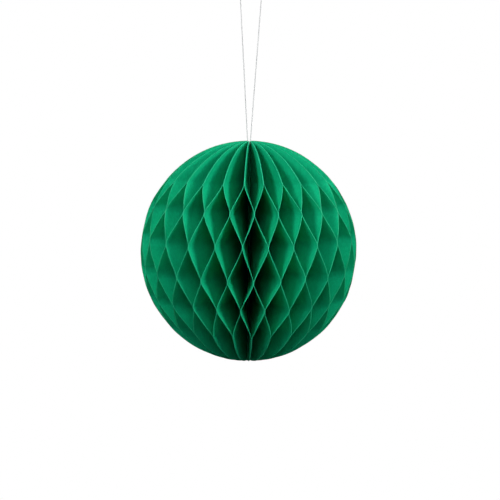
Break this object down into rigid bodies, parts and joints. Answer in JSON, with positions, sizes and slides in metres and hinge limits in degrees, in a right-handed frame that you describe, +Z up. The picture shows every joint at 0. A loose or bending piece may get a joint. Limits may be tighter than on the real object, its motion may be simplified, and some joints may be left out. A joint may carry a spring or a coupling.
{
  "type": "paper honeycomb ball",
  "caption": "Hanging paper honeycomb ball: glued tissue leaves fan round a spine between two taped half-disc covers, on a thread loop, and fold back flat.",
  "frame": {"origin": "where a hook bears on the inside of the hanging loop, straight above the spine; the centre of the ball is 124.3 mm below it", "axes": "+Z up along the spine, which is every fold's axis; +Y towards the seam where the two covers are taped back to back; -Y is the front"},
  "size_m": [0.0978, 0.0978, 0.1748],
  "materials": {
    "tissue": "thin dyed tissue, green all through",
    "card": "stiff card, green",
    "tape": "double-sided adhesive strip",
    "glue": "dried glue with leaf edges set in it",
    "thread": "twisted white thread"
  },
  "bodies": {
    "core": {"spine_binding": "glue", "cover_card_a": "card", "tape_upper": "tape", "tape_middle": "tape", "tape_lower": "tape", "hang_string": "thread", "string_ring": "thread", "string_knot": "thread"},
    "cover_b": {"cover_card_b": "card"},
    "leaf_01_body": {"leaf_01": "tissue"},
    "leaf_02_body": {"leaf_02": "tissue"},
    "leaf_03_body": {"leaf_03": "tissue"},
    "leaf_04_body": {"leaf_04": "tissue"},
    "leaf_05_body": {"leaf_05": "tissue"},
    "leaf_06_body": {"leaf_06": "tissue"},
    "leaf_07_body": {"leaf_07": "tissue"},
    "leaf_08_body": {"leaf_08": "tissue"},
    "leaf_09_body": {"leaf_09": "tissue"},
    "leaf_10_body": {"leaf_10": "tissue"},
    "leaf_11_body": {"leaf_11": "tissue"},
    "leaf_12_body": {"leaf_12": "tissue"},
    "leaf_13_body": {"leaf_13": "tissue"},
    "leaf_14_body": {"leaf_14": "tissue"},
    "leaf_15_body": {"leaf_15": "tissue"},
    "leaf_16_body": {"leaf_16": "tissue"},
    "leaf_17_body": {"leaf_17": "tissue"},
    "leaf_18_body": {"leaf_18": "tissue"},
    "leaf_19_body": {"leaf_19": "tissue"},
    "leaf_20_body": {"leaf_20": "tissue"},
    "leaf_21_body": {"leaf_21": "tissue"},
    "leaf_22_body": {"leaf_22": "tissue"},
    "leaf_23_body": {"leaf_23": "tissue"},
    "leaf_24_body": {"leaf_24": "tissue"},
    "leaf_25_body": {"leaf_25": "tissue"},
    "leaf_26_body": {"leaf_26": "tissue"},
    "leaf_27_body": {"leaf_27": "tissue"},
    "leaf_28_body": {"leaf_28": "tissue"},
    "leaf_29_body": {"leaf_29": "tissue"},
    "leaf_30_body": {"leaf_30": "tissue"},
    "leaf_31_body": {"leaf_31": "tissue"},
    "leaf_32_body": {"leaf_32": "tissue"},
    "leaf_33_body": {"leaf_33": "tissue"},
    "leaf_34_body": {"leaf_34": "tissue"},
    "leaf_35_body": {"leaf_35": "tissue"},
    "leaf_36_body": {"leaf_36": "tissue"},
    "leaf_37_body": {"leaf_37": "tissue"},
    "leaf_38_body": {"leaf_38": "tissue"},
    "leaf_39_body": {"leaf_39": "tissue"},
    "leaf_40_body": {"leaf_40": "tissue"},
    "leaf_41_body": {"leaf_41": "tissue"},
    "leaf_42_body": {"leaf_42": "tissue"},
    "leaf_43_body": {"leaf_43": "tissue"},
    "leaf_44_body": {"leaf_44": "tissue"},
    "leaf_45_body": {"leaf_45": "tissue"},
    "leaf_46_body": {"leaf_46": "tissue"},
    "leaf_47_body": {"leaf_47": "tissue"},
    "leaf_48_body": {"leaf_48": "tissue"}
  },
  "joints": [
    {"name": "cover_fold", "type": "hinge", "parent": "core", "child": "cover_b", "pos_m": [0, 0, -0.12434], "axis": [0, 0, 1], "range_deg": [-350, 0]},
    {"name": "leaf_01_fold", "type": "hinge", "parent": "core", "child": "leaf_01_body", "pos_m": [0, 0, -0.12434], "axis": [0, 0, 1], "range_deg": [-2.43, 0], "deforming": ["leaf_01"]},
    {"name": "leaf_02_fold", "type": "hinge", "parent": "core", "child": "leaf_02_body", "pos_m": [0, 0, -0.12434], "axis": [0, 0, 1], "range_deg": [-8.99, 0], "deforming": ["leaf_02"]},
    {"name": "leaf_03_fold", "type": "hinge", "parent": "core", "child": "leaf_03_body", "pos_m": [0, 0, -0.12434], "axis": [0, 0, 1], "range_deg": [-15.64, 0], "deforming": ["leaf_03"]},
    {"name": "leaf_04_fold", "type": "hinge", "parent": "core", "child": "leaf_04_body", "pos_m": [0, 0, -0.12434], "axis": [0, 0, 1], "range_deg": [-22.41, 0], "deforming": ["leaf_04"]},
    {"name": "leaf_05_fold", "type": "hinge", "parent": "core", "child": "leaf_05_body", "pos_m": [0, 0, -0.12434], "axis": [0, 0, 1], "range_deg": [-29.35, 0], "deforming": ["leaf_05"]},
    {"name": "leaf_06_fold", "type": "hinge", "parent": "core", "child": "leaf_06_body", "pos_m": [0, 0, -0.12434], "axis": [0, 0, 1], "range_deg": [-36.49, 0], "deforming": ["leaf_06"]},
    {"name": "leaf_07_fold", "type": "hinge", "parent": "core", "child": "leaf_07_body", "pos_m": [0, 0, -0.12434], "axis": [0, 0, 1], "range_deg": [-43.83, 0], "deforming": ["leaf_07"]},
    {"name": "leaf_08_fold", "type": "hinge", "parent": "core", "child": "leaf_08_body", "pos_m": [0, 0, -0.12434], "axis": [0, 0, 1], "range_deg": [-51.38, 0], "deforming": ["leaf_08"]},
    {"name": "leaf_09_fold", "type": "hinge", "parent": "core", "child": "leaf_09_body", "pos_m": [0, 0, -0.12434], "axis": [0, 0, 1], "range_deg": [-59.12, 0], "deforming": ["leaf_09"]},
    {"name": "leaf_10_fold", "type": "hinge", "parent": "core", "child": "leaf_10_body", "pos_m": [0, 0, -0.12434], "axis": [0, 0, 1], "range_deg": [-67.03, 0], "deforming": ["leaf_10"]},
    {"name": "leaf_11_fold", "type": "hinge", "parent": "core", "child": "leaf_11_body", "pos_m": [0, 0, -0.12434], "axis": [0, 0, 1], "range_deg": [-75.07, 0], "deforming": ["leaf_11"]},
    {"name": "leaf_12_fold", "type": "hinge", "parent": "core", "child": "leaf_12_body", "pos_m": [0, 0, -0.12434], "axis": [0, 0, 1], "range_deg": [-83.19, 0], "deforming": ["leaf_12"]},
    {"name": "leaf_13_fold", "type": "hinge", "parent": "core", "child": "leaf_13_body", "pos_m": [0, 0, -0.12434], "axis": [0, 0, 1], "range_deg": [-91.34, 0], "deforming": ["leaf_13"]},
    {"name": "leaf_14_fold", "type": "hinge", "parent": "core", "child": "leaf_14_body", "pos_m": [0, 0, -0.12434], "axis": [0, 0, 1], "range_deg": [-99.46, 0], "deforming": ["leaf_14"]},
    {"name": "leaf_15_fold", "type": "hinge", "parent": "core", "child": "leaf_15_body", "pos_m": [0, 0, -0.12434], "axis": [0, 0, 1], "range_deg": [-107.49, 0], "deforming": ["leaf_15"]},
    {"name": "leaf_16_fold", "type": "hinge", "parent": "core", "child": "leaf_16_body", "pos_m": [0, 0, -0.12434], "axis": [0, 0, 1], "range_deg": [-115.41, 0], "deforming": ["leaf_16"]},
    {"name": "leaf_17_fold", "type": "hinge", "parent": "core", "child": "leaf_17_body", "pos_m": [0, 0, -0.12434], "axis": [0, 0, 1], "range_deg": [-123.15, 0], "deforming": ["leaf_17"]},
    {"name": "leaf_18_fold", "type": "hinge", "parent": "core", "child": "leaf_18_body", "pos_m": [0, 0, -0.12434], "axis": [0, 0, 1], "range_deg": [-130.7, 0], "deforming": ["leaf_18"]},
    {"name": "leaf_19_fold", "type": "hinge", "parent": "core", "child": "leaf_19_body", "pos_m": [0, 0, -0.12434], "axis": [0, 0, 1], "range_deg": [-138.04, 0], "deforming": ["leaf_19"]},
    {"name": "leaf_20_fold", "type": "hinge", "parent": "core", "child": "leaf_20_body", "pos_m": [0, 0, -0.12434], "axis": [0, 0, 1], "range_deg": [-145.18, 0], "deforming": ["leaf_20"]},
    {"name": "leaf_21_fold", "type": "hinge", "parent": "core", "child": "leaf_21_body", "pos_m": [0, 0, -0.12434], "axis": [0, 0, 1], "range_deg": [-152.12, 0], "deforming": ["leaf_21"]},
    {"name": "leaf_22_fold", "type": "hinge", "parent": "core", "child": "leaf_22_body", "pos_m": [0, 0, -0.12434], "axis": [0, 0, 1], "range_deg": [-158.89, 0], "deforming": ["leaf_22"]},
    {"name": "leaf_23_fold", "type": "hinge", "parent": "core", "child": "leaf_23_body", "pos_m": [0, 0, -0.12434], "axis": [0, 0, 1], "range_deg": [-165.53, 0], "deforming": ["leaf_23"]},
    {"name": "leaf_24_fold", "type": "hinge", "parent": "core", "child": "leaf_24_body", "pos_m": [0, 0, -0.12434], "axis": [0, 0, 1], "range_deg": [-172.1, 0], "deforming": ["leaf_24"]},
    {"name": "leaf_25_fold", "type": "hinge", "parent": "core", "child": "leaf_25_body", "pos_m": [0, 0, -0.12434], "axis": [0, 0, 1], "range_deg": [-178.64, 0], "deforming": ["leaf_25"]},
    {"name": "leaf_26_fold", "type": "hinge", "parent": "core", "child": "leaf_26_body", "pos_m": [0, 0, -0.12434], "axis": [0, 0, 1], "range_deg": [-185.21, 0], "deforming": ["leaf_26"]},
    {"name": "leaf_27_fold", "type": "hinge", "parent": "core", "child": "leaf_27_body", "pos_m": [0, 0, -0.12434], "axis": [0, 0, 1], "range_deg": [-191.85, 0], "deforming": ["leaf_27"]},
    {"name": "leaf_28_fold", "type": "hinge", "parent": "core", "child": "leaf_28_body", "pos_m": [0, 0, -0.12434], "axis": [0, 0, 1], "range_deg": [-198.62, 0], "deforming": ["leaf_28"]},
    {"name": "leaf_29_fold", "type": "hinge", "parent": "core", "child": "leaf_29_body", "pos_m": [0, 0, -0.12434], "axis": [0, 0, 1], "range_deg": [-205.56, 0], "deforming": ["leaf_29"]},
    {"name": "leaf_30_fold", "type": "hinge", "parent": "core", "child": "leaf_30_body", "pos_m": [0, 0, -0.12434], "axis": [0, 0, 1], "range_deg": [-212.7, 0], "deforming": ["leaf_30"]},
    {"name": "leaf_31_fold", "type": "hinge", "parent": "core", "child": "leaf_31_body", "pos_m": [0, 0, -0.12434], "axis": [0, 0, 1], "range_deg": [-220.04, 0], "deforming": ["leaf_31"]},
    {"name": "leaf_32_fold", "type": "hinge", "parent": "core", "child": "leaf_32_body", "pos_m": [0, 0, -0.12434], "axis": [0, 0, 1], "range_deg": [-227.59, 0], "deforming": ["leaf_32"]},
    {"name": "leaf_33_fold", "type": "hinge", "parent": "core", "child": "leaf_33_body", "pos_m": [0, 0, -0.12434], "axis": [0, 0, 1], "range_deg": [-235.34, 0], "deforming": ["leaf_33"]},
    {"name": "leaf_34_fold", "type": "hinge", "parent": "core", "child": "leaf_34_body", "pos_m": [0, 0, -0.12434], "axis": [0, 0, 1], "range_deg": [-243.25, 0], "deforming": ["leaf_34"]},
    {"name": "leaf_35_fold", "type": "hinge", "parent": "core", "child": "leaf_35_body", "pos_m": [0, 0, -0.12434], "axis": [0, 0, 1], "range_deg": [-251.28, 0], "deforming": ["leaf_35"]},
    {"name": "leaf_36_fold", "type": "hinge", "parent": "core", "child": "leaf_36_body", "pos_m": [0, 0, -0.12434], "axis": [0, 0, 1], "range_deg": [-259.4, 0], "deforming": ["leaf_36"]},
    {"name": "leaf_37_fold", "type": "hinge", "parent": "core", "child": "leaf_37_body", "pos_m": [0, 0, -0.12434], "axis": [0, 0, 1], "range_deg": [-267.55, 0], "deforming": ["leaf_37"]},
    {"name": "leaf_38_fold", "type": "hinge", "parent": "core", "child": "leaf_38_body", "pos_m": [0, 0, -0.12434], "axis": [0, 0, 1], "range_deg": [-275.67, 0], "deforming": ["leaf_38"]},
    {"name": "leaf_39_fold", "type": "hinge", "parent": "core", "child": "leaf_39_body", "pos_m": [0, 0, -0.12434], "axis": [0, 0, 1], "range_deg": [-283.71, 0], "deforming": ["leaf_39"]},
    {"name": "leaf_40_fold", "type": "hinge", "parent": "core", "child": "leaf_40_body", "pos_m": [0, 0, -0.12434], "axis": [0, 0, 1], "range_deg": [-291.62, 0], "deforming": ["leaf_40"]},
    {"name": "leaf_41_fold", "type": "hinge", "parent": "core", "child": "leaf_41_body", "pos_m": [0, 0, -0.12434], "axis": [0, 0, 1], "range_deg": [-299.36, 0], "deforming": ["leaf_41"]},
    {"name": "leaf_42_fold", "type": "hinge", "parent": "core", "child": "leaf_42_body", "pos_m": [0, 0, -0.12434], "axis": [0, 0, 1], "range_deg": [-306.91, 0], "deforming": ["leaf_42"]},
    {"name": "leaf_43_fold", "type": "hinge", "parent": "core", "child": "leaf_43_body", "pos_m": [0, 0, -0.12434], "axis": [0, 0, 1], "range_deg": [-314.25, 0], "deforming": ["leaf_43"]},
    {"name": "leaf_44_fold", "type": "hinge", "parent": "core", "child": "leaf_44_body", "pos_m": [0, 0, -0.12434], "axis": [0, 0, 1], "range_deg": [-321.39, 0], "deforming": ["leaf_44"]},
    {"name": "leaf_45_fold", "type": "hinge", "parent": "core", "child": "leaf_45_body", "pos_m": [0, 0, -0.12434], "axis": [0, 0, 1], "range_deg": [-328.33, 0], "deforming": ["leaf_45"]},
    {"name": "leaf_46_fold", "type": "hinge", "parent": "core", "child": "leaf_46_body", "pos_m": [0, 0, -0.12434], "axis": [0, 0, 1], "range_deg": [-335.1, 0], "deforming": ["leaf_46"]},
    {"name": "leaf_47_fold", "type": "hinge", "parent": "core", "child": "leaf_47_body", "pos_m": [0, 0, -0.12434], "axis": [0, 0, 1], "range_deg": [-341.75, 0], "deforming": ["leaf_47"]},
    {"name": "leaf_48_fold", "type": "hinge", "parent": "core", "child": "leaf_48_body", "pos_m": [0, 0, -0.12434], "axis": [0, 0, 1], "range_deg": [-348.31, 0], "deforming": ["leaf_48"]}
  ],
  "couplings": [
    {"joint": "leaf_01_fold", "follows": "cover_fold", "ratio": 0.006865},
    {"joint": "leaf_02_fold", "follows": "cover_fold", "ratio": 0.025586},
    {"joint": "leaf_03_fold", "follows": "cover_fold", "ratio": 0.044536},
    {"joint": "leaf_04_fold", "follows": "cover_fold", "ratio": 0.063851},
    {"joint": "leaf_05_fold", "follows": "cover_fold", "ratio": 0.083641},
    {"joint": "leaf_06_fold", "follows": "cover_fold", "ratio": 0.10398},
    {"joint": "leaf_07_fold", "follows": "cover_fold", "ratio": 0.12492},
    {"joint": "leaf_08_fold", "follows": "cover_fold", "ratio": 0.14645},
    {"joint": "leaf_09_fold", "follows": "cover_fold", "ratio": 0.16853},
    {"joint": "leaf_10_fold", "follows": "cover_fold", "ratio": 0.19109},
    {"joint": "leaf_11_fold", "follows": "cover_fold", "ratio": 0.21401},
    {"joint": "leaf_12_fold", "follows": "cover_fold", "ratio": 0.23716},
    {"joint": "leaf_13_fold", "follows": "cover_fold", "ratio": 0.26038},
    {"joint": "leaf_14_fold", "follows": "cover_fold", "ratio": 0.28353},
    {"joint": "leaf_15_fold", "follows": "cover_fold", "ratio": 0.30646},
    {"joint": "leaf_16_fold", "follows": "cover_fold", "ratio": 0.32901},
    {"joint": "leaf_17_fold", "follows": "cover_fold", "ratio": 0.35109},
    {"joint": "leaf_18_fold", "follows": "cover_fold", "ratio": 0.37262},
    {"joint": "leaf_19_fold", "follows": "cover_fold", "ratio": 0.39356},
    {"joint": "leaf_20_fold", "follows": "cover_fold", "ratio": 0.4139},
    {"joint": "leaf_21_fold", "follows": "cover_fold", "ratio": 0.43369},
    {"joint": "leaf_22_fold", "follows": "cover_fold", "ratio": 0.45301},
    {"joint": "leaf_23_fold", "follows": "cover_fold", "ratio": 0.47196},
    {"joint": "leaf_24_fold", "follows": "cover_fold", "ratio": 0.49068},
    {"joint": "leaf_25_fold", "follows": "cover_fold", "ratio": 0.50932},
    {"joint": "leaf_26_fold", "follows": "cover_fold", "ratio": 0.52804},
    {"joint": "leaf_27_fold", "follows": "cover_fold", "ratio": 0.54699},
    {"joint": "leaf_28_fold", "follows": "cover_fold", "ratio": 0.56631},
    {"joint": "leaf_29_fold", "follows": "cover_fold", "ratio": 0.5861},
    {"joint": "leaf_30_fold", "follows": "cover_fold", "ratio": 0.60644},
    {"joint": "leaf_31_fold", "follows": "cover_fold", "ratio": 0.62738},
    {"joint": "leaf_32_fold", "follows": "cover_fold", "ratio": 0.6489},
    {"joint": "leaf_33_fold", "follows": "cover_fold", "ratio": 0.67099},
    {"joint": "leaf_34_fold", "follows": "cover_fold", "ratio": 0.69354},
    {"joint": "leaf_35_fold", "follows": "cover_fold", "ratio": 0.71647},
    {"joint": "leaf_36_fold", "follows": "cover_fold", "ratio": 0.73962},
    {"joint": "leaf_37_fold", "follows": "cover_fold", "ratio": 0.76284},
    {"joint": "leaf_38_fold", "follows": "cover_fold", "ratio": 0.78599},
    {"joint": "leaf_39_fold", "follows": "cover_fold", "ratio": 0.80891},
    {"joint": "leaf_40_fold", "follows": "cover_fold", "ratio": 0.83147},
    {"joint": "leaf_41_fold", "follows": "cover_fold", "ratio": 0.85355},
    {"joint": "leaf_42_fold", "follows": "cover_fold", "ratio": 0.87508},
    {"joint": "leaf_43_fold", "follows": "cover_fold", "ratio": 0.89602},
    {"joint": "leaf_44_fold", "follows": "cover_fold", "ratio": 0.91636},
    {"joint": "leaf_45_fold", "follows": "cover_fold", "ratio": 0.93615},
    {"joint": "leaf_46_fold", "follows": "cover_fold", "ratio": 0.95546},
    {"joint": "leaf_47_fold", "follows": "cover_fold", "ratio": 0.97441},
    {"joint": "leaf_48_fold", "follows": "cover_fold", "ratio": 0.99313}
  ]
}
